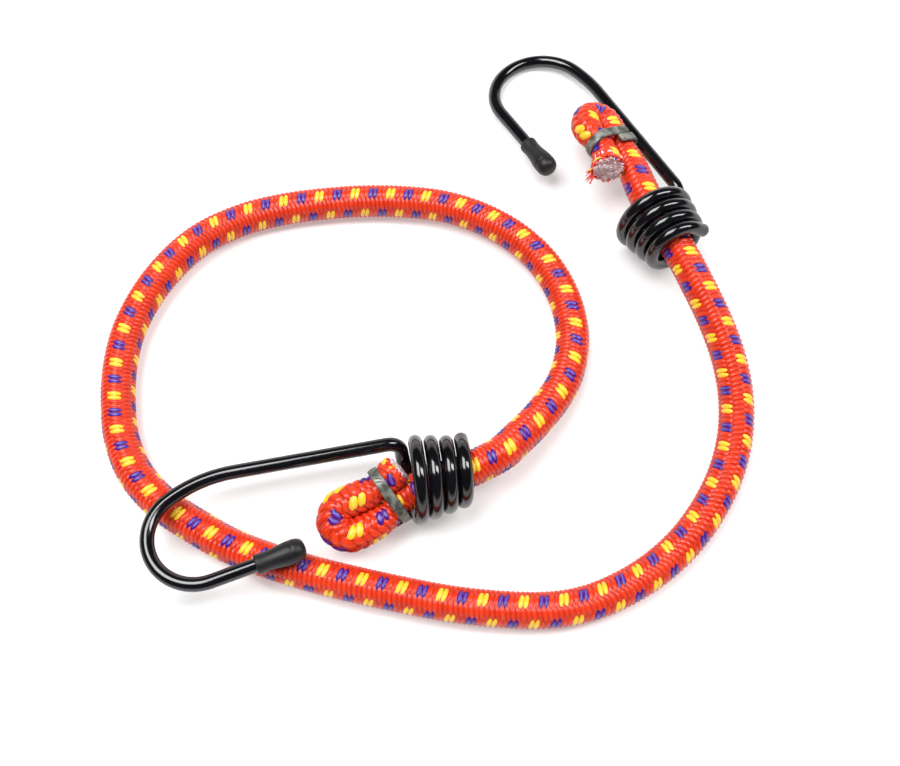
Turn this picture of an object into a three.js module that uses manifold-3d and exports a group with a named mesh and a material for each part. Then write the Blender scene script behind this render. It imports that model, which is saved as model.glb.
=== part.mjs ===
// A bungee cord lying on a table: a braided elastic cord with a coiled wire hook on each end.
// Millimetres, +Z up. The table is z = 0, and the origin lies on it, midway between the two hooks.
import * as THREE from "three";
import { mergeVertices } from "three/addons/utils/BufferGeometryUtils.js";
import Module from "manifold-3d";

const wasm = await Module();
wasm.setup();

// Driving dimensions
const CORD_RADIUS = 4;
const SHEATH_WALL = 0.9;
const LYING_FLAT = 0.8; // depth of the flat that the cord's underside is pressed to
const JOINT_GAP = 0.4; // between pieces that meet end to end
const RUN_STEP = 10; // length of one facet along a free run
const END_STEP = 3.2; // length of one facet along a folded end
const SHEATH_SIDES = 12;
const END_SIDES = 10;

const THREAD_RADIUS = 0.8; // square rubber threads, centre to corner
const THREAD_PITCH_RADIUS = 1.85; // the ring of six threads around the middle one
const THREAD_RING_COUNT = 6;
const THREAD_SIDES = 4;

const WIRE_RADIUS = 1.55;
const WIRE_SIDES = 8;
const COIL_TURNS = 4;
const COIL_PITCH = 3.5;
const COIL_PLAY = 0.75; // between the cord and the smallest turn
const COIL_TAPER = 2.4; // growth in radius from the smallest turn to the largest
const COIL_START_ANGLE = 45; // degrees past the shank's side, where the wire's cut end leaves the coil
const COIL_STUB = 2.6; // straight length at the wire's cut end
const COIL_STEPS_PER_TURN = 20;
const TABLE_CLEARANCE = 0.07; // under the largest turn

const LEAD_STEPS = 5; // facets in the bend where the wire leaves the coil
const EASE_STEPS = 4;
const BEND_STEPS = 14;

const CAP_LENGTH = 11;
const CAP_MOUTH_RADIUS = 2.1;
const CAP_SLEEVE_LENGTH = 3; // nearly straight length behind the cap's mouth
const CAP_SLEEVE_FLARE = 0.08;
const CAP_BULB_RADIUS = 2.6;
const CAP_BULB_START = 6.9; // from the mouth to where the bulb is widest
const CAP_DOME_HEIGHT = 2.1;
const CAP_DOME_STEPS = 4;
const CAP_END_WALL = 2.3;
const CAP_BORE_CLEARANCE = 0.12;
const CAP_SEGMENTS = 16;

const CLIP_WIDTH = 1.9;
const CLIP_THICKNESS = 1;
const CLIP_CLEARANCE = 0.5;
const CLIP_SIDES = 8;
const CLIP_STEPS = 28;
const CLIP_LAP = 0.12; // share of a turn by which the two ends of the clip pass each other
const CLIP_LAP_GAP = 0.35;

// Each hook in its own frame: X out along the coil, Y towards the tip, Z up, the origin in the largest turn
const LEFT_HOOK = {
  place: [-5.65, -49.47],
  heading: 191.5,
  tilt: 1.5,
  shankOffset: 9.2,
  shankEnd: 38.4,
  easeRadius: 29,
  easeAngle: 30,
  bendRadius: 10.5,
  bendEndAngle: 190,
  tipLength: 20.6,
};
const RIGHT_HOOK = {
  place: [50.96, 18.14],
  heading: 117.3,
  tilt: -8,
  shankOffset: 10,
  shankEnd: 42,
  easeRadius: 40,
  easeAngle: 15,
  bendRadius: 12.2,
  bendEndAngle: 183,
  tipLength: 23.7,
};

// The folded ends, in the level frame of their hook: x, y, z, and how far the fold and the clip squeeze the cord.
// Each begins behind the coil, passes through it, turns back and ends at the cut.
const LEFT_END = {
  points: [
    [-15.7, -1, -0.35, 1],
    [-11, 0.3, -0.3, 1],
    [-5, 1.3, -0.3, 1],
    [1.6, 2.8, -0.4, 0.88],
    [5.2, 5, -1.2, 0.68],
    [8.4, 7, -1.8, 0.78],
    [12.1, 8.7, -2.2, 0.86],
    [16.4, 9.3, -2.2, 0.87],
    [19.1, 6.3, -1.5, 0.87],
    [17.6, 2.5, -0.3, 0.87],
    [13.1, 1.7, 0.9, 0.86],
    [10, 1.2, 1.6, 0.77],
    [7.4, 0.55, 2.3, 0.68],
    [5.2, -0.7, 3, 0.77],
    [3.9, -1.8, 3.7, 0.88],
  ],
  clip: { main: 4, tail: 12, lapStart: 0.55 },
};
const RIGHT_END = {
  points: [
    [-14.5, 0.5, 1.7, 1],
    [-6, 0, 1.55, 1],
    [1.5, -0.3, 1.2, 1],
    [8, -1.4, 0.5, 0.97],
    [15.2, -3.1, -0.3, 0.86],
    [22.3, -4.2, -0.7, 0.69],
    [28.2, -4.8, -1.4, 0.8],
    [31.6, -4.2, -1.5, 0.87],
    [33, -1.7, -0.7, 0.87],
    [31, 1, 0.8, 0.87],
    [27.2, 2.2, 2, 0.81],
    [22.4, 1.6, 2.4, 0.68],
    [18.2, 2.8, 2.9, 0.77],
    [14.9, 4.3, 3.6, 0.92],
  ],
  clip: { main: 5, tail: 11, lapStart: 0.05 },
};

// The free cord from the left coil to the right one: x, y, and its share of the height of the neck it comes from.
// The necks themselves are the two ends of the route.
const LEFT_ROUTE = [
  [13.2, -43.2, 0.97],
  [16.8, -39.4, 0.8],
  [22.6, -32.5, 0.47],
  [28.3, -23.2, 0.18],
  [30.8, -12.5, 0.045],
  [29.6, -1.7, 0],
  [25.1, 8.3, 0],
  [18.3, 16, 0],
  [9.9, 21.6, 0],
  [0.7, 25.1, 0],
  [-9.3, 26.5, 0],
  [-19.4, 26.7, 0],
  [-29.3, 25.9, 0],
  [-39.2, 24.3, 0],
  [-49.3, 21.2, 0],
  [-59.8, 14.9, 0],
  [-68.3, 4.2, 0],
  [-73.4, -7.9, 0],
  [-74.8, -17.6, 0],
  [-74.3, -27.6, 0],
  [-72.3, -37.4, 0],
  [-67.9, -46.2, 0],
  [-61, -53.2, 0],
  [-53.5, -58.1, 0],
];
const RIGHT_ROUTE = [
  [-45.3, -62.6, 0],
  [-29.2, -68.2, 0],
  [-12, -72.4, 0],
  [5.1, -75.6, 0],
  [22.2, -76.6, 0],
  [30.8, -75.3, 0],
  [39.1, -72, 0],
  [46.7, -67.3, 0],
  [53.5, -61.2, 0.012],
  [59.2, -53.8, 0.047],
  [63.6, -45.6, 0.117],
  [66.3, -36.7, 0.222],
  [67, -27.6, 0.386],
  [65.8, -18.6, 0.585],
  [63.1, -9.8, 0.795],
  [59.2, -0.2, 0.985],
];
const LEFT_LEAD_LENGTH = 50; // from the left neck to where the cord has come down to the table
const STRETCH_RUN_LENGTH = 76; // the stretch that gives when the cord is pulled
const RIGHT_LEAD_LENGTH = 50; // from the table up to the right neck

const COLOURS = {
  sheath: { color: 0xe5381d, roughness: 0.75, metalness: 0 },
  thread: { color: 0xa98f92, roughness: 0.85, metalness: 0 },
  wire: { color: 0x0d0d0f, roughness: 0.25, metalness: 0 },
  cap: { color: 0x1c1d1e, roughness: 0.6, metalness: 0 },
  clip: { color: 0x8b8f88, roughness: 0.45, metalness: 1 },
};

// Sizes that follow from the driving ones
const BORE_RADIUS = CORD_RADIUS - SHEATH_WALL;
const COIL_SMALL_RADIUS = CORD_RADIUS + COIL_PLAY + WIRE_RADIUS;
const COIL_LARGE_RADIUS = COIL_SMALL_RADIUS + COIL_TAPER;
const COIL_AXIS_HEIGHT = COIL_LARGE_RADIUS + WIRE_RADIUS + TABLE_CLEARANCE;
const LYING_HEIGHT = CORD_RADIUS - LYING_FLAT;
const FULL_TURN = 2 * Math.PI;

const radians = THREE.MathUtils.degToRad;
const outward = new THREE.Vector3(1, 0, 0);

function makeMesh(name, geometry, finish) {
  const mesh = new THREE.Mesh(geometry, new THREE.MeshStandardMaterial(COLOURS[finish]));
  mesh.name = name;
  return mesh;
}

// Corners of a regular section whose first side faces the section's own X axis.
function polygon(radius, sides, centre = new THREE.Vector2()) {
  return Array.from({ length: sides }, (_, k) => {
    const angle = ((k + 0.5) * FULL_TURN) / sides;
    return new THREE.Vector2(radius * Math.cos(angle), radius * Math.sin(angle)).add(centre);
  });
}

function threadCentres() {
  const ring = Array.from({ length: THREAD_RING_COUNT }, (_, k) => {
    const angle = (k * FULL_TURN) / THREAD_RING_COUNT;
    return new THREE.Vector2(Math.cos(angle), Math.sin(angle)).multiplyScalar(THREAD_PITCH_RADIUS);
  });
  return [new THREE.Vector2(), ...ring];
}

// Joined rings of points, closed at both ends by flat faces. A bore is a second set of rings inside the first.
function skin(rings, boreRings = null) {
  const sides = rings[0].length;
  const last = rings.length - 1;
  const vertices = [...rings.flat(), ...(boreRings ? boreRings.flat() : [])];
  const bore = rings.length * sides;
  const faces = [];
  const quad = (a, b, c, d) => faces.push(a, b, c, a, c, d);
  for (let i = 0; i < last; i++) {
    for (let k = 0; k < sides; k++) {
      const next = (k + 1) % sides;
      quad(i * sides + k, i * sides + next, (i + 1) * sides + next, (i + 1) * sides + k);
      if (boreRings) {
        const from = bore + i * sides;
        quad(from + next, from + k, from + sides + k, from + sides + next);
      }
    }
  }
  for (let k = 0; k < sides; k++) {
    const next = (k + 1) % sides;
    if (boreRings) {
      quad(k, bore + k, bore + next, next);
      quad(last * sides + next, bore + last * sides + next, bore + last * sides + k, last * sides + k);
    } else if (k > 0 && k < sides - 1) {
      faces.push(0, next, k);
      faces.push(last * sides, last * sides + k, last * sides + next);
    }
  }
  const geometry = new THREE.BufferGeometry();
  geometry.setAttribute("position", new THREE.Float32BufferAttribute(vertices.flatMap((v) => v.toArray()), 3));
  geometry.setIndex(faces);
  return geometry;
}

// Section axes along a line of points, carried forward without twist from a first direction.
function carryFrames(points, firstAxis) {
  let axis = firstAxis.clone();
  return points.map((point, i) => {
    const ahead = points[Math.min(i + 1, points.length - 1)];
    const behind = points[Math.max(i - 1, 0)];
    const stepOut = ahead.clone().sub(point).normalize();
    const stepIn = point.clone().sub(behind).normalize();
    const tangent = stepOut.add(stepIn).normalize();
    axis = axis.clone().addScaledVector(tangent, -axis.dot(tangent)).normalize();
    return { point, axis, cross: tangent.clone().cross(axis), tangent };
  });
}

function ringAt(frame, section, scale = 1) {
  return section.map((corner) =>
    frame.point
      .clone()
      .addScaledVector(frame.axis, corner.x * scale)
      .addScaledVector(frame.cross, corner.y * scale)
  );
}

function toSolid(geometry) {
  const bare = geometry.clone();
  bare.deleteAttribute("normal");
  bare.deleteAttribute("uv");
  const merged = mergeVertices(bare, 1e-4);
  return new wasm.Manifold(
    new wasm.Mesh({
      numProp: 3,
      vertProperties: Float32Array.from(merged.attributes.position.array),
      triVerts: Uint32Array.from(merged.index.array),
    })
  );
}

function toGeometry(solid) {
  const mesh = solid.getMesh();
  const geometry = new THREE.BufferGeometry();
  geometry.setAttribute("position", new THREE.BufferAttribute(mesh.vertProperties, 3));
  geometry.setIndex(new THREE.BufferAttribute(mesh.triVerts, 1));
  return geometry;
}

// Everything below the table top is taken off, which leaves the flat that the cord lies on.
function cutAtTable(geometry) {
  const box = new THREE.Box3().setFromBufferAttribute(geometry.attributes.position);
  const size = box.getSize(new THREE.Vector3()).multiplyScalar(2);
  const centre = box.getCenter(new THREE.Vector3());
  const below = new THREE.BoxGeometry(size.x, size.y, size.z).translate(centre.x, centre.y, -size.z / 2);
  return toGeometry(toSolid(geometry).subtract(toSolid(below)));
}

// Free runs of cord

// Where the folded end's neck comes out of the coil.
function neckPoint(hook, end) {
  return new THREE.Vector3(...end.points[0].slice(0, 3))
    .applyAxisAngle(new THREE.Vector3(0, 0, 1), radians(hook.heading))
    .add(new THREE.Vector3(...hook.place, COIL_AXIS_HEIGHT));
}

function routeCurve() {
  const leftNeck = neckPoint(LEFT_HOOK, LEFT_END);
  const rightNeck = neckPoint(RIGHT_HOOK, RIGHT_END);
  const lay = (route, neck) =>
    route.map(([x, y, share]) => new THREE.Vector3(x, y, THREE.MathUtils.lerp(LYING_HEIGHT, neck.z, share)));
  const points = [leftNeck, ...lay(LEFT_ROUTE, leftNeck), ...lay(RIGHT_ROUTE, rightNeck), rightNeck];
  const curve = new THREE.CatmullRomCurve3(points);
  curve.arcLengthDivisions = 800;
  return curve;
}

// One run of the route, from one distance along it to another.
class RunCurve extends THREE.Curve {
  constructor(route, from, to) {
    super();
    this.route = route;
    this.first = route.getUtoTmapping(0, from);
    this.last = route.getUtoTmapping(0, to);
  }

  getPoint(t, target = new THREE.Vector3()) {
    return this.route.getPoint(THREE.MathUtils.lerp(this.first, this.last, t), target);
  }
}

function extrudeAlong(curve, corners, boreCorners = null) {
  const shape = new THREE.Shape(corners);
  if (boreCorners) {
    shape.holes.push(new THREE.Path(boreCorners));
  }
  const steps = Math.round(curve.getLength() / RUN_STEP);
  return new THREE.ExtrudeGeometry(shape, { steps, extrudePath: curve });
}

function makeRun(name, route, from, to) {
  const curve = new RunCurve(route, from + JOINT_GAP / 2, to - JOINT_GAP / 2);
  const sheath = extrudeAlong(curve, polygon(CORD_RADIUS, SHEATH_SIDES), polygon(BORE_RADIUS, SHEATH_SIDES));
  const run = new THREE.Group();
  run.add(makeMesh(`${name}_sheath`, cutAtTable(sheath), "sheath"));
  threadCentres().forEach((centre, k) => {
    const thread = extrudeAlong(curve, polygon(THREAD_RADIUS, THREAD_SIDES, centre));
    run.add(makeMesh(`${name}_thread_${k + 1}`, thread, "thread"));
  });
  return run;
}

// Folded ends

function endCurve(end) {
  return new THREE.CatmullRomCurve3(end.points.map(([x, y, z]) => new THREE.Vector3(x, y, z)));
}

function squeezeAt(end, t) {
  const place = t * (end.points.length - 1);
  const k = Math.min(Math.floor(place), end.points.length - 2);
  return THREE.MathUtils.lerp(end.points[k][3], end.points[k + 1][3], place - k);
}

function makeEnd(name, end) {
  const curve = endCurve(end);
  const length = curve.getLength();
  const steps = Math.round(length / END_STEP);
  const stations = Array.from({ length: steps + 1 }, (_, i) => {
    const along = THREE.MathUtils.lerp(JOINT_GAP / 2 / length, 1, i / steps);
    const t = curve.getUtoTmapping(along);
    return { point: curve.getPoint(t), squeeze: squeezeAt(end, t) };
  });
  const down = new THREE.Vector3(0, 0, -1);
  const frames = carryFrames(stations.map((station) => station.point), down);
  const rings = (section) => frames.map((frame, i) => ringAt(frame, section, stations[i].squeeze));
  const sheath = skin(rings(polygon(CORD_RADIUS, END_SIDES)), rings(polygon(BORE_RADIUS, END_SIDES)));
  const group = new THREE.Group();
  group.add(makeMesh(`${name}_sheath`, sheath, "sheath"));
  threadCentres().forEach((centre, k) => {
    const thread = skin(rings(polygon(THREAD_RADIUS, THREAD_SIDES, centre)));
    group.add(makeMesh(`${name}_thread_${k + 1}`, thread, "thread"));
  });
  return group;
}

// A point on an oval of two half circles and two straight sides, at a share of the way round it.
function ovalPoint(share, halfSpan, radius) {
  const arc = Math.PI * radius;
  const side = 2 * halfSpan;
  let way = THREE.MathUtils.euclideanModulo(share, 1) * 2 * (arc + side);
  const sign = way < arc + side ? 1 : -1;
  way -= sign > 0 ? 0 : arc + side;
  const angle = Math.min(way / radius, Math.PI) - Math.PI / 2;
  const beyond = Math.max(way - arc, 0);
  const x = halfSpan - beyond + radius * Math.cos(angle);
  return new THREE.Vector2(x, radius * Math.sin(angle)).multiplyScalar(sign);
}

// The clip is a bar bent round both strands, its two ends lying side by side.
function makeClip(name, end) {
  const { main, tail, lapStart } = end.clip;
  const vector = (k) => new THREE.Vector3(...end.points[k].slice(0, 3));
  const middle = vector(main).add(vector(tail)).multiplyScalar(0.5);
  const spread = vector(tail).sub(vector(main));
  const halfSpan = spread.length() / 2;
  const across = spread.normalize();
  const mainWay = vector(main + 1).sub(vector(main - 1)).normalize();
  const tailWay = vector(tail - 1).sub(vector(tail + 1)).normalize();
  const along = mainWay.add(tailWay);
  along.addScaledVector(across, -along.dot(across)).normalize();
  const beside = along.clone().cross(across);
  const strand = CORD_RADIUS * Math.max(end.points[main][3], end.points[tail][3]);
  const bendRadius = strand + CLIP_CLEARANCE + CLIP_THICKNESS / 2;
  const points = Array.from({ length: CLIP_STEPS + 1 }, (_, i) => {
    const share = i / CLIP_STEPS;
    const place = ovalPoint(lapStart + share * (1 + CLIP_LAP), halfSpan, bendRadius);
    return middle
      .clone()
      .addScaledVector(across, place.x)
      .addScaledVector(beside, place.y)
      .addScaledVector(along, (share - 0.5) * (CLIP_WIDTH + CLIP_LAP_GAP));
  });
  const section = polygon(1, CLIP_SIDES).map((corner) => {
    return new THREE.Vector2((corner.x * CLIP_THICKNESS) / 2, (corner.y * CLIP_WIDTH) / 2);
  });
  const frames = points.map((point, i) => {
    const ahead = points[Math.min(i + 1, CLIP_STEPS)];
    const behind = points[Math.max(i - 1, 0)];
    const tangent = ahead.clone().sub(behind).normalize();
    const axis = tangent.clone().cross(along).normalize();
    return { point, axis, cross: tangent.clone().cross(axis) };
  });
  return makeMesh(name, skin(frames.map((frame) => ringAt(frame, section))), "clip");
}

// Hooks

function coilPoint(angle, startAngle, endAngle) {
  const share = (angle - startAngle) / (endAngle - startAngle);
  const radius = THREE.MathUtils.lerp(COIL_SMALL_RADIUS, COIL_LARGE_RADIUS, share);
  const lastFront = FULL_TURN * (COIL_TURNS - 0.5);
  const advance = (COIL_PITCH * (angle - lastFront)) / FULL_TURN;
  return new THREE.Vector3(advance, -radius * Math.cos(angle), radius * Math.sin(angle));
}

function coilPoints(hook) {
  const leadAngle = Math.acos(COIL_LARGE_RADIUS / hook.shankOffset);
  const startAngle = radians(COIL_START_ANGLE);
  const endAngle = FULL_TURN * COIL_TURNS - leadAngle;
  const steps = Math.round((COIL_STEPS_PER_TURN * (endAngle - startAngle)) / FULL_TURN);
  const winding = Array.from({ length: steps + 1 }, (_, i) => {
    return coilPoint(THREE.MathUtils.lerp(startAngle, endAngle, i / steps), startAngle, endAngle);
  });
  const stub = winding[0].clone().sub(winding[1]).normalize().multiplyScalar(COIL_STUB).add(winding[0]);
  return [stub, ...winding];
}

// From the largest turn the wire rises beside the coil and bends over to run out along it.
function leadPoints(hook, coilEnd) {
  const leadAngle = Math.acos(COIL_LARGE_RADIUS / hook.shankOffset);
  const radius = COIL_LARGE_RADIUS * Math.tan(leadAngle);
  const rise = new THREE.Vector3(0, -Math.sin(leadAngle), Math.cos(leadAngle));
  return Array.from({ length: LEAD_STEPS }, (_, i) => {
    const angle = ((i + 1) / LEAD_STEPS) * (Math.PI / 2);
    return coilEnd
      .clone()
      .addScaledVector(rise, radius * Math.sin(angle))
      .addScaledVector(outward, radius * (1 - Math.cos(angle)));
  });
}

// Points on an arc that starts at a point with a heading and turns towards +Y.
function arcPoints(start, heading, endHeading, radius, steps) {
  const left = (angle) => new THREE.Vector3(-Math.sin(angle), Math.cos(angle), 0);
  const centre = start.clone().addScaledVector(left(heading), radius);
  return Array.from({ length: steps }, (_, i) => {
    const angle = THREE.MathUtils.lerp(heading, endHeading, (i + 1) / steps);
    return centre.clone().addScaledVector(left(angle), -radius);
  });
}

function tipDirection(hook) {
  const heading = radians(hook.bendEndAngle);
  return new THREE.Vector3(Math.cos(heading), Math.sin(heading), 0);
}

function hookPoints(hook) {
  const coil = coilPoints(hook);
  const lead = leadPoints(hook, coil.at(-1));
  const shankEnd = new THREE.Vector3(hook.shankEnd, -hook.shankOffset, 0);
  const easeAngle = radians(hook.easeAngle);
  const ease = arcPoints(shankEnd, 0, easeAngle, hook.easeRadius, EASE_STEPS);
  const bend = arcPoints(ease.at(-1), easeAngle, radians(hook.bendEndAngle), hook.bendRadius, BEND_STEPS);
  const wireTip = hook.tipLength - CAP_END_WALL - CAP_BORE_CLEARANCE;
  const tip = bend.at(-1).clone().addScaledVector(tipDirection(hook), wireTip);
  return { coil, bend, all: [...coil, ...lead, shankEnd, ...ease, ...bend, tip] };
}

// Least distance from one turn of the coil's wire to the next, less the wire's thickness.
function coilGap(coil) {
  const halfTurn = COIL_STEPS_PER_TURN / 2;
  let least = Infinity;
  for (let i = 0; i < coil.length; i++) {
    for (let k = i + halfTurn; k < coil.length; k++) {
      least = Math.min(least, coil[i].distanceTo(coil[k]));
    }
  }
  return least - 2 * WIRE_RADIUS;
}

// The wire's section is set at the bend, where one flat side faces straight into the hook, and carried both ways.
function makeWire(name, hook) {
  const { coil, bend, all } = hookPoints(hook);
  const middle = all.indexOf(bend[Math.floor(bend.length / 2)]);
  const towards = all[middle - 1].clone().add(all[middle + 1]).multiplyScalar(0.5).sub(all[middle]).normalize();
  const section = polygon(WIRE_RADIUS, WIRE_SIDES);
  const forward = carryFrames(all.slice(middle), towards);
  const backward = carryFrames(all.slice(0, middle + 1).reverse(), towards);
  const mirrored = section.map((corner) => new THREE.Vector2(corner.x, -corner.y));
  const rings = [
    ...backward.slice(1).reverse().map((frame) => ringAt(frame, mirrored)),
    ...forward.map((frame) => ringAt(frame, section)),
  ];
  console.log(`${name}: least gap between turns ${coilGap(coil).toFixed(2)} mm`);
  return makeMesh(name, skin(rings), "wire");
}

function makeCap(name, hook) {
  const boreRadius = WIRE_RADIUS + CAP_BORE_CLEARANCE;
  const boreDepth = CAP_LENGTH - CAP_END_WALL;
  const profile = [
    new THREE.Vector2(0, boreDepth),
    new THREE.Vector2(boreRadius, boreDepth),
    new THREE.Vector2(boreRadius, 0),
    new THREE.Vector2(CAP_MOUTH_RADIUS, 0),
    new THREE.Vector2(CAP_MOUTH_RADIUS + CAP_SLEEVE_FLARE, CAP_SLEEVE_LENGTH),
    new THREE.Vector2(CAP_BULB_RADIUS, CAP_BULB_START),
  ];
  for (let i = 0; i <= CAP_DOME_STEPS; i++) {
    const angle = (i / CAP_DOME_STEPS) * (Math.PI / 2);
    const height = CAP_LENGTH - CAP_DOME_HEIGHT * (1 - Math.sin(angle));
    profile.push(new THREE.Vector2(i === CAP_DOME_STEPS ? 0 : CAP_BULB_RADIUS * Math.cos(angle), height));
  }
  const cap = makeMesh(name, new THREE.LatheGeometry(profile, CAP_SEGMENTS), "cap");
  const direction = tipDirection(hook);
  const bendEnd = hookPoints(hook).bend.at(-1);
  cap.position.copy(bendEnd).addScaledVector(direction, hook.tipLength - CAP_LENGTH);
  cap.quaternion.setFromUnitVectors(new THREE.Vector3(0, 1, 0), direction);
  return cap;
}

// One end of the bungee: the folded cord and its clip lie level, and the hook is tilted on the cord.
function makeSide(side, hook, end) {
  const level = new THREE.Group();
  level.position.set(...hook.place, COIL_AXIS_HEIGHT);
  level.rotation.z = radians(hook.heading);
  level.add(makeEnd(`${side}_end`, end), makeClip(`${side}_clip`, end));
  const tilted = new THREE.Group();
  tilted.rotation.y = -radians(hook.tilt);
  tilted.add(makeWire(`${side}_hook_wire`, hook), makeCap(`${side}_tip_cap`, hook));
  level.add(tilted);
  return level;
}

const route = routeCurve();
const routeLength = route.getLength();
const rightLeadStart = routeLength - RIGHT_LEAD_LENGTH;
const stretchStart = rightLeadStart - STRETCH_RUN_LENGTH;

const bungee = new THREE.Group();
bungee.name = "bungee_cord";
bungee.add(
  makeSide("left", LEFT_HOOK, LEFT_END),
  makeSide("right", RIGHT_HOOK, RIGHT_END),
  makeRun("left_lead", route, 0, LEFT_LEAD_LENGTH),
  makeRun("loop_run", route, LEFT_LEAD_LENGTH, stretchStart),
  makeRun("stretch_run", route, stretchStart, rightLeadStart),
  makeRun("right_lead", route, rightLeadStart, routeLength)
);

export default bungee;
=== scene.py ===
"""A red braided bungee cord with two black wire hooks, lying in an open loop on a white table.

The sizes are in millimetres and are turned into metres where a mesh is made. +X is to the right of the
photograph, +Y away from the viewer and +Z up from the table.
"""
from __future__ import annotations

import logging
import math
import random
from dataclasses import dataclass, field
from enum import Enum
from typing import Sequence

import bpy
import numpy as np
from mathutils import Matrix, Vector

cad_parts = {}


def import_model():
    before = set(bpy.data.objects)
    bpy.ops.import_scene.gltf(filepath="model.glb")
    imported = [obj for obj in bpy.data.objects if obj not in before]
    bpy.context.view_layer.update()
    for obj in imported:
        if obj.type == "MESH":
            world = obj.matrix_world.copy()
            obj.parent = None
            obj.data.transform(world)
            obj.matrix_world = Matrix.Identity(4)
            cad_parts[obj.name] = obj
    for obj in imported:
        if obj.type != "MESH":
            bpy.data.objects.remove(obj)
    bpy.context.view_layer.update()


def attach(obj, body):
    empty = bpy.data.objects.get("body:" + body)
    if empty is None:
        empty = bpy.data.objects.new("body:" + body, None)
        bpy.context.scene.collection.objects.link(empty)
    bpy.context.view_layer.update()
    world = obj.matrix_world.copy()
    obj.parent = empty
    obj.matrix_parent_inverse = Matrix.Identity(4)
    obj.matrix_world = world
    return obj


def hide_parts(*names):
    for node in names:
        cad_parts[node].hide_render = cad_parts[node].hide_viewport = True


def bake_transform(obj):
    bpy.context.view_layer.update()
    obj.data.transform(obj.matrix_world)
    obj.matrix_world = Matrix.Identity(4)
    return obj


Pair = tuple[float, float]
Triple = tuple[float, float, float]
Colour = tuple[float, float, float, float]
Socket = bpy.types.NodeSocket

LOG = logging.getLogger("bungee_cord")
MM = 0.001
UP = np.array([0.0, 0.0, 1.0])
WHITE = (1.0, 1.0, 1.0, 1.0)
SAME_PLACE = 1e-6

CORD_RADIUS = 4.0
WIRE_RADIUS = 1.58
COIL_SMALL_RADIUS = 6.3
COIL_LARGE_RADIUS = 8.7
COIL_AXIS_HEIGHT = 10.32
LYING_HEIGHT = 3.86
THREADS_PER_STRETCH = 7

# The free cord from the left coil to the right one: x, y, and its share of the nearer neck's height.
LEFT_ROUTE = (
    (13.2, -43.2, 0.97),
    (16.8, -39.4, 0.8),
    (22.6, -32.5, 0.47),
    (28.3, -23.2, 0.18),
    (30.8, -12.5, 0.045),
    (29.6, -1.7, 0.0),
    (25.1, 8.3, 0.0),
    (18.3, 16.0, 0.0),
    (9.9, 21.6, 0.0),
    (0.7, 25.1, 0.0),
    (-9.3, 26.5, 0.0),
    (-19.4, 26.7, 0.0),
    (-29.3, 25.9, 0.0),
    (-39.2, 24.3, 0.0),
    (-49.3, 21.2, 0.0),
    (-59.8, 14.9, 0.0),
    (-68.3, 4.2, 0.0),
    (-73.4, -7.9, 0.0),
    (-74.8, -17.6, 0.0),
    (-74.3, -27.6, 0.0),
    (-72.3, -37.4, 0.0),
    (-67.9, -46.2, 0.0),
    (-61.0, -53.2, 0.0),
    (-53.5, -58.1, 0.0),
)
RIGHT_ROUTE = (
    (-45.3, -62.6, 0.0),
    (-29.2, -68.2, 0.0),
    (-12.0, -72.4, 0.0),
    (5.1, -75.6, 0.0),
    (22.2, -76.6, 0.0),
    (30.8, -75.3, 0.0),
    (39.1, -72.0, 0.0),
    (46.7, -67.3, 0.0),
    (53.5, -61.2, 0.012),
    (59.2, -53.8, 0.047),
    (63.6, -45.6, 0.117),
    (66.3, -36.7, 0.222),
    (67.0, -27.6, 0.386),
    (65.8, -18.6, 0.585),
    (63.1, -9.8, 0.795),
    (59.2, -0.2, 0.985),
)
LEFT_LEAD_LENGTH = 50.0
STRETCH_RUN_LENGTH = 76.0
RIGHT_LEAD_LENGTH = 50.0


class Side(Enum):
    """The two ends of the bungee, as the photograph shows them."""

    LEFT = "left"
    RIGHT = "right"


class Yarn(Enum):
    """The colours of yarn in the braid."""

    RED = "red"
    YELLOW = "yellow"
    VIOLET = "violet"


@dataclass(frozen=True)
class HookShape:
    """One hook's place on the table and the run of its wire, in the hook's own frame.

    X goes out along the coil, Y towards the tip and Z up, from the middle of the largest turn. The
    angles are in degrees.
    """

    place: Pair
    heading: float
    tilt: float
    shank_offset: float
    shank_end: float
    ease_radius: float
    ease_angle: float
    bend_radius: float
    bend_end_angle: float
    tip_length: float

    def level_matrix(self) -> Matrix:
        """Return the level frame of the folded cord, in millimetres."""
        turn = Matrix.Rotation(math.radians(self.heading), 4, "Z")
        return Matrix.Translation((*self.place, COIL_AXIS_HEIGHT)) @ turn

    def wire_matrix(self) -> Matrix:
        """Return the tilted frame of the wire, in millimetres."""
        return self.level_matrix() @ Matrix.Rotation(-math.radians(self.tilt), 4, "Y")


@dataclass(frozen=True)
class FoldShape:
    """One folded end of the cord, in the level frame of its hook.

    Each point is x, y, z and the share of the cord's full radius that is left there. The first point is
    behind the coil and the last is the cut.
    """

    points: tuple[tuple[float, float, float, float], ...]
    clip_main: int
    clip_tail: int
    lap_start: float


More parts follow.
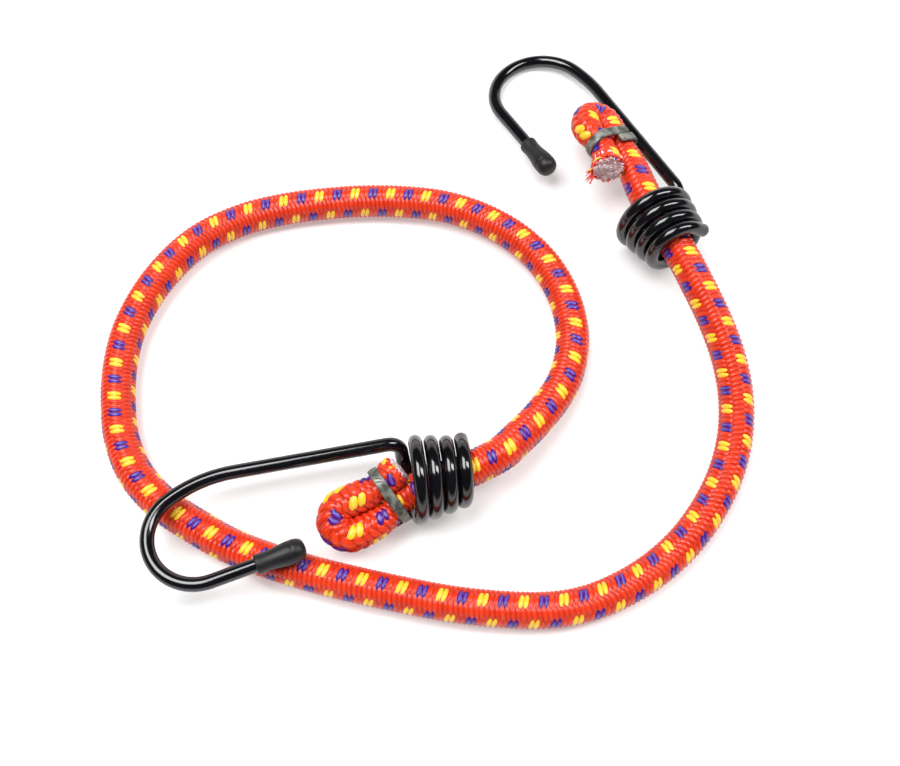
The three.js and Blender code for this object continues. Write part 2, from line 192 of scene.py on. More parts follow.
HOOKS = {
    Side.LEFT: HookShape(
        place=(-5.65, -49.47),
        heading=191.5,
        tilt=1.5,
        shank_offset=9.2,
        shank_end=38.4,
        ease_radius=29.0,
        ease_angle=30.0,
        bend_radius=10.5,
        bend_end_angle=190.0,
        tip_length=20.6,
    ),
    Side.RIGHT: HookShape(
        place=(50.96, 18.14),
        heading=117.3,
        tilt=-8.0,
        shank_offset=10.0,
        shank_end=42.0,
        ease_radius=40.0,
        ease_angle=15.0,
        bend_radius=12.2,
        bend_end_angle=183.0,
        tip_length=23.7,
    ),
}
FOLDS = {
    Side.LEFT: FoldShape(
        points=(
            (-15.7, -1.0, -0.35, 1.0),
            (-11.0, 0.3, -0.3, 1.0),
            (-5.0, 1.3, -0.3, 1.0),
            (1.6, 2.8, -0.4, 0.92),
            (5.2, 5.0, -1.2, 0.74),
            (8.4, 6.8, -1.8, 0.87),
            (12.1, 8.2, -2.2, 0.93),
            (16.4, 8.8, -2.2, 0.95),
            (18.9, 6.2, -1.5, 0.96),
            (17.4, 3.0, -0.3, 0.94),
            (13.1, 2.0, 0.9, 0.91),
            (10.0, 1.4, 1.5, 0.86),
            (7.4, 0.55, 2.3, 0.74),
            (5.0, -0.7, 3.0, 0.95),
            (3.3, -1.6, 3.6, 0.93),
        ),
        clip_main=4,
        clip_tail=12,
        lap_start=0.55,
    ),
    Side.RIGHT: FoldShape(
        points=(
            (-14.5, 0.5, 1.7, 1.0),
            (-6.0, 0.0, 1.55, 1.0),
            (1.5, -0.3, 1.2, 1.0),
            (8.0, -1.4, 0.5, 1.0),
            (15.2, -3.1, -0.3, 0.94),
            (22.3, -4.2, -0.7, 0.74),
            (28.0, -4.7, -1.4, 0.9),
            (31.1, -4.1, -1.5, 0.96),
            (32.5, -1.7, -0.7, 0.97),
            (30.6, 1.0, 0.8, 0.97),
            (27.0, 2.2, 2.0, 0.92),
            (22.4, 1.6, 2.4, 0.74),
            (18.2, 2.8, 2.9, 0.9),
            (14.9, 4.3, 3.6, 1.07),
        ),
        clip_main=5,
        clip_tail=11,
        lap_start=0.4,
    ),
}
THREAD_SEEDS = {Side.LEFT: 11, Side.RIGHT: 12}
FRAY_SEEDS = {Side.LEFT: 21, Side.RIGHT: 22}
CLIP_SEEDS = {Side.LEFT: 31, Side.RIGHT: 32}


def as_world(matrix: Matrix, points: np.ndarray) -> np.ndarray:
    """Take points from a frame to the table's frame.

    Args:
        matrix: the frame, in millimetres.
        points: one point a row.

    Returns:
        The moved points.
    """
    full = np.array(matrix)
    return points @ full[:3, :3].T + full[:3, 3]


def unit(vectors: np.ndarray) -> np.ndarray:
    """Return the vectors, one a row, at length one."""
    return vectors / np.linalg.norm(vectors, axis=-1, keepdims=True)


def smooth_line(points: np.ndarray, per_span: int) -> np.ndarray:
    """Draw a centripetal curve through points whose first three columns are a place.

    Args:
        points: the points, with any further columns carried along.
        per_span: how many steps to take from each point to the next.

    Returns:
        The points on the curve, one a row, with all columns.
    """
    padded = np.vstack([2 * points[0] - points[1], points, 2 * points[-1] - points[-2]])
    steps = np.sqrt(np.linalg.norm(np.diff(padded[:, :3], axis=0), axis=1))
    share = np.linspace(0.0, 1.0, per_span, endpoint=False)[:, None]
    spans = []
    for k in range(len(points) - 1):
        before, start, end, after = padded[k : k + 4]
        step_in, step, step_out = steps[k : k + 3]
        leave = (start - before) / step_in - (end - before) / (step_in + step) + (end - start) / step
        reach = (end - start) / step - (after - start) / (step + step_out) + (after - end) / step_out
        leave, reach = leave * step, reach * step
        cubic = 2 * start - 2 * end + leave + reach
        square = -3 * start + 3 * end - 2 * leave - reach
        spans.append(((cubic * share + square) * share + leave) * share + start)
    spans.append(points[-1:])
    return np.vstack(spans)


def distance_along(points: np.ndarray) -> np.ndarray:
    """Return how far along a line of points each of them is."""
    return np.concatenate([[0.0], np.cumsum(np.linalg.norm(np.diff(points[:, :3], axis=0), axis=1))])


def evenly_spaced(points: np.ndarray, step: float) -> np.ndarray:
    """Place points evenly on a line, with all columns read between its points.

    Args:
        points: the line.
        step: about how far apart the new points are.

    Returns:
        The new points, the line's two ends among them.
    """
    along = distance_along(points)
    count = max(2, round(along[-1] / step))
    stations = np.linspace(0.0, along[-1], count + 1)
    return np.stack([np.interp(stations, along, column) for column in points.T], axis=1)


def tangents_of(points: np.ndarray) -> np.ndarray:
    """Return the direction of a line at each of its points."""
    return unit(np.gradient(points[:, :3], axis=0))


def carry_axis(tangents: np.ndarray, first_axis: np.ndarray) -> np.ndarray:
    """Carry a section's axis along a line without twist.

    Args:
        tangents: the line's direction at each point.
        first_axis: the axis at the first point.

    Returns:
        The axis at each point, square to the line.
    """
    axes = np.empty_like(tangents)
    axis = first_axis
    for k, tangent in enumerate(tangents):
        axis = axis - tangent * (axis @ tangent)
        axis = axis / np.linalg.norm(axis)
        axes[k] = axis
    return axes


def make_piece(name: str, vertices: np.ndarray, faces: Sequence[Sequence[int]]) -> bpy.types.Object:
    """Make a smooth mesh object.

    Args:
        name: the piece's name.
        vertices: one point a row, in millimetres.
        faces: the corners of each face.

    Returns:
        The object, linked to the scene.
    """
    mesh = bpy.data.meshes.new(name)
    mesh.from_pydata((vertices * MM).tolist(), [], [list(face) for face in faces])
    mesh.polygons.foreach_set("use_smooth", [True] * len(mesh.polygons))
    mesh.validate()
    mesh.update()
    piece = bpy.data.objects.new(name, mesh)
    bpy.context.scene.collection.objects.link(piece)
    return piece


def ring_faces(rings: int, sides: int, first: int = 0) -> list[tuple[int, int, int, int]]:
    """Return the faces between rings of points, which face outwards where a ring turns from up to right.

    Args:
        rings: how many rings there are.
        sides: how many points each has.
        first: the number of the first ring's first point.

    Returns:
        The corners of each face.
    """
    ring = np.arange(rings - 1)[:, None] * sides + first
    place = np.arange(sides)[None, :]
    after = (place + 1) % sides
    quads = np.stack([ring + place, ring + sides + place, ring + sides + after, ring + after], axis=-1)
    return [tuple(quad) for quad in quads.reshape(-1, 4).tolist()]


def closed_faces(rings: int, sides: int) -> list[tuple[int, ...]]:
    """Return the faces between rings of points, and one across each end.

    Args:
        rings: how many rings there are.
        sides: how many points each has.

    Returns:
        The corners of each face.
    """
    faces: list[tuple[int, ...]] = list(ring_faces(rings, sides))
    faces.append(tuple(range(sides)))
    faces.append(tuple(reversed(range((rings - 1) * sides, rings * sides))))
    return faces


def sweep_rings(
    points: np.ndarray, axes: np.ndarray, tangents: np.ndarray, section: np.ndarray, scale: np.ndarray
) -> np.ndarray:
    """Place a section at each point of a line.

    Args:
        points: the line.
        axes: the section's first axis at each point.
        tangents: the line's direction at each point.
        section: the section's corners, two columns, turning from its first axis to the line's right.
        scale: the section's size at each point.

    Returns:
        All the corners, ring by ring.
    """
    rights = np.cross(tangents, axes)
    forward = section[None, :, 0, None] * axes[:, None, :]
    sideways = section[None, :, 1, None] * rights[:, None, :]
    return (points[:, None, :3] + (forward + sideways) * scale[:, None, None]).reshape(-1, 3)


def round_section(radius: float, sides: int) -> np.ndarray:
    """Return the corners of a round section."""
    angles = np.arange(sides) * 2 * math.pi / sides
    return radius * np.stack([np.cos(angles), np.sin(angles)], axis=1)


def place_and_aim(name: str, data: bpy.types.ID, place: Triple, target: Triple) -> bpy.types.Object:
    """Make a light's or a camera's object.

    Args:
        name: the object's name.
        data: the light or the camera.
        place: where it is, in millimetres.
        target: what it points at.

    Returns:
        The object, linked to the scene.
    """
    holder = bpy.data.objects.new(name, data)
    start, end = Vector(place) * MM, Vector(target) * MM
    holder.location = start
    holder.rotation_euler = (end - start).to_track_quat("-Z", "Y").to_euler()
    bpy.context.scene.collection.objects.link(holder)
    return holder


class MixKind(Enum):
    """What a mix node mixes: its data type, the places of the inputs it uses, and of its output."""

    COLOUR = ("RGBA", (0, 6, 7), 2)
    NUMBER = ("FLOAT", (0, 2, 3), 0)


class NodeGraph:
    """A short way to write a node tree: each call adds a node and returns a socket."""

    def __init__(self, tree: bpy.types.NodeTree) -> None:
        """Keep the tree that nodes are added to."""
        self.tree = tree

    def add(self, kind: str, **settings: object) -> bpy.types.Node:
        """Add a node.

        Args:
            kind: the node's type.
            settings: its properties.

        Returns:
            The node.
        """
        node = self.tree.nodes.new(kind)
        for key, value in settings.items():
            setattr(node, key, value)
        return node

    def feed(self, socket: Socket, value: object) -> None:
        """Link a socket to another, or set it.

        Args:
            socket: the socket to fill.
            value: another socket, a number or a colour.
        """
        if isinstance(value, Socket):
            self.tree.links.new(value, socket)
        else:
            socket.default_value = value

    def math(self, operation: str, *values: object, clamp: bool = False) -> Socket:
        """Add a sum on numbers.

        Args:
            operation: what to do with them.
            values: sockets or numbers.
            clamp: whether to hold the result from 0 to 1.

        Returns:
            The result.
        """
        node = self.add("ShaderNodeMath", operation=operation, use_clamp=clamp)
        for socket, value in zip(node.inputs, values):
            self.feed(socket, value)
        return node.outputs[0]

    def mix(self, share: object, first: object, second: object, kind: MixKind = MixKind.COLOUR) -> Socket:
        """Mix two colours or two numbers.

        Args:
            share: how much of the second one there is.
            first: a socket, a colour or a number.
            second: a socket, a colour or a number.
            kind: what they are.

        Returns:
            The mixed colour or number.
        """
        data_type, inputs, output = kind.value
        node = self.add("ShaderNodeMix", data_type=data_type)
        for place, value in zip(inputs, (share, first, second)):
            self.feed(node.inputs[place], value)
        return node.outputs[output]

    def ramp(self, value: object, low: float, high: float, to_low: float, to_high: float) -> Socket:
        """Map a number smoothly from one range to another.

        Args:
            value: the number.
            low: where the first range starts.
            high: where it ends.
            to_low: where the second range starts.
            to_high: where it ends.

        Returns:
            The mapped number.
        """
        node = self.add("ShaderNodeMapRange", interpolation_type="SMOOTHSTEP")
        for socket, number in zip(node.inputs, (value, low, high, to_low, to_high)):
            self.feed(socket, number)
        return node.outputs[0]

    def noise(self, vector: object, scale: object, detail: float) -> Socket:
        """Add a noise of about 0.5 on average.

        Args:
            vector: where to read it.
            scale: how fine it is.
            detail: how many finer layers it has.

        Returns:
            The noise.
        """
        node = self.add("ShaderNodeTexNoise")
        self.feed(node.inputs["Vector"], vector)
        self.feed(node.inputs["Scale"], scale)
        self.feed(node.inputs["Detail"], detail)
        return node.outputs[0]

    def bump(self, height: object, distance: float) -> Socket:
        """Turn a height into a normal.

        Args:
            height: the height, from 0 to 1.
            distance: how far 1 stands out, in metres.

        Returns:
            The normal.
        """
        node = self.add("ShaderNodeBump")
        node.inputs["Strength"].default_value = 1.0
        node.inputs["Distance"].default_value = distance
        self.feed(node.inputs["Height"], height)
        return node.outputs[0]


class ShaderGroups:
    """The shader node groups that the finishes share, each built once."""

    GRAIN_DETAIL = 2.0
    BLOTCH_DETAIL = 4.0
    SCRATCH_SCALE = 260.0
    SCRATCH_DETAIL = 5.0
    SCRATCH_RANGE = (0.58, 0.68)

    def __init__(self) -> None:
        """Build the groups."""
        self.grain = self.build_grain()
        self.braid = self.build_braid()

    @staticmethod
    def start(name: str, inputs: Sequence[tuple[str, float]], outputs: Sequence[str]) -> tuple:
        """Start a group of numbers in and numbers out.

        Args:
            name: the group's name.
            inputs: each input's name and its usual value.
            outputs: the outputs' names.

        Returns:
            The group's tree, its graph, its input node and its output node.
        """
        tree = bpy.data.node_groups.new(name, "ShaderNodeTree")
        for label, usual in inputs:
            socket = tree.interface.new_socket(name=label, in_out="INPUT", socket_type="NodeSocketFloat")
            socket.default_value = usual
        for label in outputs:
            tree.interface.new_socket(name=label, in_out="OUTPUT", socket_type="NodeSocketFloat")
        graph = NodeGraph(tree)
        return tree, graph, graph.add("NodeGroupInput"), graph.add("NodeGroupOutput")

    def build_grain(self) -> bpy.types.NodeTree:
        """Build the fine moulded or drawn grain, with blotches and thin scratches.

        Returns:
            The group.
        """
        tree, graph, given, result = self.start(
            "surface_grain",
            (("Grain Scale", 900.0), ("Blotch Scale", 120.0), ("Scratch Stretch", 8.0)),
            ("Grain", "Blotch", "Scratch"),
        )
        place = graph.add("ShaderNodeTexCoord").outputs["Object"]
        grain = graph.noise(place, given.outputs["Grain Scale"], self.GRAIN_DETAIL)
        blotch = graph.noise(place, given.outputs["Blotch Scale"], self.BLOTCH_DETAIL)
        stretch = graph.add("ShaderNodeCombineXYZ")
        for socket, size in zip(stretch.inputs, (1.0, given.outputs["Scratch Stretch"], 1.0)):
            graph.feed(socket, size)
        pulled = graph.add("ShaderNodeVectorMath", operation="MULTIPLY")
        graph.feed(pulled.inputs[0], place)
        graph.feed(pulled.inputs[1], stretch.outputs[0])
        lines = graph.noise(pulled.outputs[0], self.SCRATCH_SCALE, self.SCRATCH_DETAIL)
        graph.feed(result.inputs["Grain"], grain)
        graph.feed(result.inputs["Blotch"], blotch)
        graph.feed(result.inputs["Scratch"], graph.ramp(lines, *self.SCRATCH_RANGE, 0.0, 1.0))
        return tree

    def build_braid(self) -> bpy.types.NodeTree:
        """Build the braid's pattern from the place along the cord, in floats, and around it, in turns.

        Returns:
            The group: masks of the yellow and violet yarn, the floats' height and the filaments in them.
        """
        tree, graph, given, result = self.start(
            "braid_floats",
            (("Along", 0.0), ("Around", 0.0)),
            ("Yellow", "Violet", "Height", "Filament", "Float"),
        )
        along, around = given.outputs["Along"], given.outputs["Around"]
        heights, numbers, offsets = [], [], []
        for way, joined in enumerate(("SUBTRACT", "ADD")):
            column = graph.math("MULTIPLY_ADD", around, BraidPattern.COLUMNS, -0.5 * way)
            centre = graph.math("ROUND", column)
            across = graph.math("SUBTRACT", column, centre)
            step = BraidPattern.CARRIERS_EACH_WAY / BraidPattern.COLUMNS
            slant = graph.math("MULTIPLY_ADD", centre, step, 0.5 * step * way + BraidPattern.STAGGER)
            slant = graph.math("MULTIPLY_ADD", across, BraidPattern.LEAN, slant)
            stripe = graph.math(joined, along, slant)
            number = graph.math("ROUND", stripe)
            offset = graph.math("SUBTRACT", stripe, number)
            reach = graph.math("ABSOLUTE", graph.math("MULTIPLY", across, BraidPattern.REACHES[way]))
            taper = graph.math("POWER", reach, BraidPattern.TAPER)
            width = graph.math("MULTIPLY_ADD", graph.math("MULTIPLY", offset, offset), -4.0, 1.0)
            inside = graph.math("SUBTRACT", width, taper, clamp=True)
            heights.append(graph.math("SQRT", inside))
            numbers.append(number)
            offsets.append(offset)
        on_top = graph.math("GREATER_THAN", heights[0], heights[1])
        carrier = graph.math("FLOORED_MODULO", numbers[0], BraidPattern.CARRIERS_EACH_WAY)
        yellow = graph.math("LESS_THAN", carrier, BraidPattern.YELLOW_END)
        from_violet = graph.math("ABSOLUTE", graph.math("SUBTRACT", carrier, BraidPattern.VIOLET_MIDDLE))
        violet = graph.math("LESS_THAN", from_violet, BraidPattern.VIOLET_REACH)
        graph.feed(result.inputs["Yellow"], graph.math("MULTIPLY", on_top, yellow))
        graph.feed(result.inputs["Violet"], graph.math("MULTIPLY", on_top, violet))
        graph.feed(result.inputs["Height"], graph.math("MAXIMUM", heights[0], heights[1], clamp=True))
        offset = graph.mix(on_top, offsets[1], offsets[0], MixKind.NUMBER)
        wave = graph.math("SINE", graph.math("MULTIPLY", offset, 2 * math.pi * BraidPattern.FILAMENTS))
        graph.feed(result.inputs["Filament"], graph.math("MULTIPLY_ADD", wave, 0.5, 0.5))
        number = graph.mix(on_top, numbers[1], numbers[0], MixKind.NUMBER)
        graph.feed(result.inputs["Float"], number)
        return tree


class BraidPattern:
    """The two-over-two braid: where its yarns float on the surface.

    Of the eight carriers that run one way, numbers 0 and 1 are yellow and numbers 4 and 5 are violet.
    """

    CARRIERS_EACH_WAY = 8.0
    COLUMNS = 4.0
    STAGGER = 0.25
    LEAN = -0.95
    REACHES = (3.4, 3.3)
    TAPER = 2.5
    FILAMENTS = 4.0
    FIRST_YELLOW = 0.75
    YELLOW_END = 1.5
    VIOLET_MIDDLE = 4.5
    VIOLET_REACH = 0.75

    # The place along the cord from the left neck, and the colour repeats passed there.
    REPEATS = (
        (-58.3, -5.8),
        (-46.8, -5.0),
        (-32.2, -4.0),
        (-25.3, -3.5),
        (-2.8, -1.0),
        (5.3, 0.0),
        (34.9, 3.0),
        (71.5, 7.0),
        (115.4, 12.0),
        (168.4, 18.0),
        (195.1, 21.0),
        (220.3, 24.0),
        (272.3, 30.0),
        (324.4, 36.0),
        (351.0, 39.0),
        (389.3, 43.0),
        (425.6, 47.0),
        (445.1, 49.0),
        (479.2, 52.0),
        (498.9, 53.55),
    )
    # The place along the cord from the left neck, and how far the braid has turned there, in degrees.
    TURNS = (
        (-58.3, 12.0),
        (1.7, 20.0),
        (19.7, 26.0),
        (46.7, 8.0),
        (91.7, -1.0),
        (131.7, 1.0),
        (163.7, 10.0),
        (186.7, 0.0),
        (241.7, 3.0),
        (271.7, -9.0),
        (306.7, -14.0),
        (341.7, -24.0),
        (366.7, -38.0),
        (386.7, -46.0),
        (426.7, -66.0),
        (498.9, -75.0),
    )

    @classmethod
    def floats_at(cls, along: np.ndarray) -> np.ndarray:
        """Return how many floats each place, measured from the left neck, is past the first yellow."""
        places, repeats = np.array(cls.REPEATS).T
        return cls.FIRST_YELLOW + cls.CARRIERS_EACH_WAY * np.interp(along, places, repeats)

    @classmethod
    def turns_at(cls, along: np.ndarray) -> np.ndarray:
        """Return how far the braid has turned at each place, measured from the left neck, in turns."""
        places, degrees = np.array(cls.TURNS).T
        return np.interp(along, places, degrees) / 360

    @classmethod
    def height(cls, along: np.ndarray, around: np.ndarray) -> np.ndarray:
        """Return how high the surface stands.

        Args:
            along: the place along the cord, in floats.
            around: the place around it, in turns.

        Returns:
            The height, from 0 between the floats to 1 on the middle of one.
        """
        step = cls.CARRIERS_EACH_WAY / cls.COLUMNS
        best = np.zeros(np.broadcast(along, around).shape)
        for way, sign in enumerate((-1, 1)):
            column = around * cls.COLUMNS - 0.5 * way
            centre = np.round(column)
            across = column - centre
            stripe = along + sign * (step * (centre + 0.5 * way) + cls.STAGGER + cls.LEAN * across)
            offset = stripe - np.round(stripe)
            reach = np.abs(cls.REACHES[way] * across)
            inside = np.clip(1 - (2 * offset) ** 2 - reach**cls.TAPER, 0, 1)
            best = np.maximum(best, np.sqrt(inside))
        return best


@dataclass(frozen=True)
class BraidFinish:
    """Woven polypropylene: red, with yellow and violet yarns among it."""

    red: Colour = (0.60, 0.024, 0.004, 1.0)
    bright_red: Colour = (0.72, 0.040, 0.008, 1.0)
    # Painted shade: the dark colour of the low ground between the floats, where shade falls.
    painted_shade_red: Colour = (0.20, 0.004, 0.001, 1.0)
    yellow: Colour = (0.94, 0.54, 0.02, 1.0)
    violet: Colour = (0.036, 0.004, 0.20, 1.0)
    # Painted highlight: the paler colours that each float's crown is mixed towards, standing in for
    # glints.
    painted_glint_red: Colour = (0.90, 0.085, 0.035, 1.0)
    painted_glint_yellow: Colour = (1.0, 0.76, 0.16, 1.0)
    painted_glint_violet: Colour = (0.44, 0.27, 0.95, 1.0)
    filament_height: float = 0.014
    grain_share: float = 0.5
    # The heights on a float between which a painted highlight pales its crown and painted shade darkens
    # its edge, and how much.
    glint_heights: Pair = (0.75, 1.0)
    glint_share: float = 0.35
    valley_heights: Pair = (0.05, 0.6)
    valley_share: float = 0.55
    roughness: float = 0.20
    filament_roughness: float = 0.10
    valley_roughness: float = 0.4
    specular: float = 0.4

    def material(self, groups: ShaderGroups) -> bpy.types.Material:
        """Make the material.

        Args:
            groups: the shared node groups.

        Returns:
            The material.
        """
        material, graph, shader = start_material("braided_sheath")
        place = graph.add("ShaderNodeUVMap", uv_map="braid")
        parts = graph.add("ShaderNodeSeparateXYZ")
        graph.feed(parts.inputs[0], place.outputs[0])
        braid = graph.add("ShaderNodeGroup", node_tree=groups.braid)
        graph.feed(braid.inputs["Along"], parts.outputs[0])
        graph.feed(braid.inputs["Around"], parts.outputs[1])
        each = graph.add("ShaderNodeTexWhiteNoise", noise_dimensions="1D")
        graph.feed(each.inputs["W"], braid.outputs["Float"])
        height, filament = braid.outputs["Height"], braid.outputs["Filament"]
        # Painted highlight: each float's crown is paled towards its glint colour, in streaks along the
        # filaments.
        painted_glint = graph.ramp(height, *self.glint_heights, 0.0, self.glint_share)
        painted_glint = graph.math("MULTIPLY", painted_glint, graph.math("MULTIPLY_ADD", filament, 0.5, 0.5))
        red = graph.mix(each.outputs[0], self.red, self.bright_red)
        coloured = graph.mix(painted_glint, red, self.painted_glint_red)
        yellow = graph.mix(painted_glint, self.yellow, self.painted_glint_yellow)
        coloured = graph.mix(braid.outputs["Yellow"], coloured, yellow)
        violet = graph.mix(painted_glint, self.violet, self.painted_glint_violet)
        coloured = graph.mix(braid.outputs["Violet"], coloured, violet)
        # Painted shade: the base colour darkens towards the low ground between floats; the same mask also
        # roughens it.
        valley = graph.ramp(height, *self.valley_heights, self.valley_share, 0.0)
        graph.feed(shader.inputs["Base Color"], graph.mix(valley, coloured, self.painted_shade_red))
        rough = graph.math("MULTIPLY_ADD", filament, self.filament_roughness, self.roughness)
        rough = graph.math("MULTIPLY_ADD", valley, self.valley_roughness, rough)
        graph.feed(shader.inputs["Roughness"], rough)
        grain = graph.add("ShaderNodeGroup", node_tree=groups.grain)
        fibres = graph.math("MULTIPLY_ADD", grain.outputs["Grain"], self.grain_share, filament)
        graph.feed(shader.inputs["Normal"], graph.bump(fibres, self.filament_height * MM))
        shader.inputs["Specular IOR Level"].default_value = self.specular
        return material


@dataclass(frozen=True)
class GrainFinish:
    """A solid material with a grain, blotches and scratches of its own strength."""

    name: str
    dark: Colour
    light: Colour
    roughness: float
    roughness_spread: float
    grain_height: float
    scratch_share: float = 0.0
    scratch_roughness: float = 0.2
    metallic: float = 0.0
    specular: float = 0.5
    grain_scale: float = 900.0
    blotch_scale: float = 120.0
    blotch_range: Pair = (0.3, 0.7)

    def material(self, groups: ShaderGroups) -> bpy.types.Material:
        """Make the material.

        Args:
            groups: the shared node groups.

        Returns:
            The material.
        """
        material, graph, shader = start_material(self.name)
        grain = graph.add("ShaderNodeGroup", node_tree=groups.grain)
        grain.inputs["Grain Scale"].default_value = self.grain_scale
        grain.inputs["Blotch Scale"].default_value = self.blotch_scale
        share = graph.ramp(grain.outputs["Blotch"], *self.blotch_range, 0.0, 1.0)
        colour = graph.mix(share, self.dark, self.light)
        worn = graph.math("MULTIPLY", grain.outputs["Scratch"], self.scratch_share)
        graph.feed(shader.inputs["Base Color"], graph.mix(worn, colour, self.dark))
        rough = graph.math("MULTIPLY_ADD", grain.outputs["Blotch"], self.roughness_spread, self.roughness)
        rough = graph.math("MULTIPLY_ADD", worn, self.scratch_roughness, rough)
        graph.feed(shader.inputs["Roughness"], rough)
        height = graph.math("SUBTRACT", grain.outputs["Grain"], worn)
        graph.feed(shader.inputs["Normal"], graph.bump(height, self.grain_height * MM))
        shader.inputs["Metallic"].default_value = self.metallic
        shader.inputs["Specular IOR Level"].default_value = self.specular
        return material


BLACK_COATING = GrainFinish(
    name="black_wire_coating",
    dark=(0.002, 0.002, 0.003, 1),
    light=(0.004, 0.004, 0.006, 1),
    roughness=0.09,
    roughness_spread=0.07,
    grain_height=0.003,
    scratch_share=0.12,
    specular=0.7,
)
CAP_RUBBER = GrainFinish(
    name="cap_rubber",
    dark=(0.006, 0.006, 0.007, 1),
    light=(0.015, 0.015, 0.016, 1),
    roughness=0.38,
    roughness_spread=0.16,
    grain_height=0.03,
    specular=0.35,
)
ZINC = GrainFinish(
    name="dull_zinc",
    dark=(0.09, 0.095, 0.08, 1),
    light=(0.36, 0.37, 0.33, 1),
    roughness=0.40,
    roughness_spread=0.30,
    grain_height=0.12,
    scratch_share=0.7,
    metallic=0.9,
    blotch_scale=520.0,
)
CUT_RUBBER = GrainFinish(
    name="cut_rubber",
    dark=(0.50, 0.30, 0.32, 1),
    light=(0.92, 0.82, 0.84, 1),
    roughness=0.55,
    roughness_spread=0.2,
    grain_height=0.10,
    scratch_share=0.6,
    specular=0.4,
    blotch_scale=900.0,
)
YARN_COLOURS = {
    Yarn.RED: ((0.62, 0.020, 0.008, 1), (0.88, 0.07, 0.03, 1)),
    Yarn.YELLOW: ((0.86, 0.36, 0.012, 1), (1.0, 0.52, 0.03, 1)),
    Yarn.VIOLET: ((0.05, 0.016, 0.24, 1), (0.16, 0.06, 0.5, 1)),
}
YARN_FINISHES = {
    yarn: GrainFinish(
        name=f"{yarn.value}_yarn",
        dark=dark,
        light=light,
        roughness=0.42,
        roughness_spread=0.2,
        grain_height=0.03,
    )
    for yarn, (dark, light) in YARN_COLOURS.items()
}


def start_material(name: str) -> tuple[bpy.types.Material, NodeGraph, bpy.types.Node]:
    """Start a material with one principled shader.

    Args:
        name: the material's name.

    Returns:
        The material, its graph and its shader.
    """
    material = bpy.data.materials.new(name)
    material.use_nodes = True
    graph = NodeGraph(material.node_tree)
    return material, graph, material.node_tree.nodes["Principled BSDF"]


@dataclass
class Finishes:
    """Every material of the scene, made once."""

    groups: ShaderGroups = field(default_factory=ShaderGroups)

    def __post_init__(self) -> None:
        """Make the materials."""
        self.braid = BraidFinish().material(self.groups)
        self.coating = BLACK_COATING.material(self.groups)
        self.cap = CAP_RUBBER.material(self.groups)
        self.zinc = ZINC.material(self.groups)
        self.cut_rubber = CUT_RUBBER.material(self.groups)
        self.yarns = {yarn: finish.material(self.groups) for yarn, finish in YARN_FINISHES.items()}


@dataclass
class CordLine:
    """A stretch of the cord's centreline, with its section's axes and its radius."""

    points: np.ndarray
    along: np.ndarray
    axes: np.ndarray
    tangents: np.ndarray
    radii: np.ndarray

    def part(self, start: float, end: float) -> "CordLine":
        """Take a part of the line.

        Args:
            start: how far along the line the part starts.
            end: how far along it ends.

        Returns:
            The part.
        """
        first, last = np.searchsorted(self.along, [start - SAME_PLACE, end - SAME_PLACE])
        chosen = slice(first, min(last, len(self.along) - 1) + 1)
        columns = (self.points, self.along, self.axes, self.tangents, self.radii)
        return CordLine(*(column[chosen] for column in columns))

    def metres(self) -> list[list[float]]:
        """Return the line's points in metres."""
        return (self.points * MM).tolist()


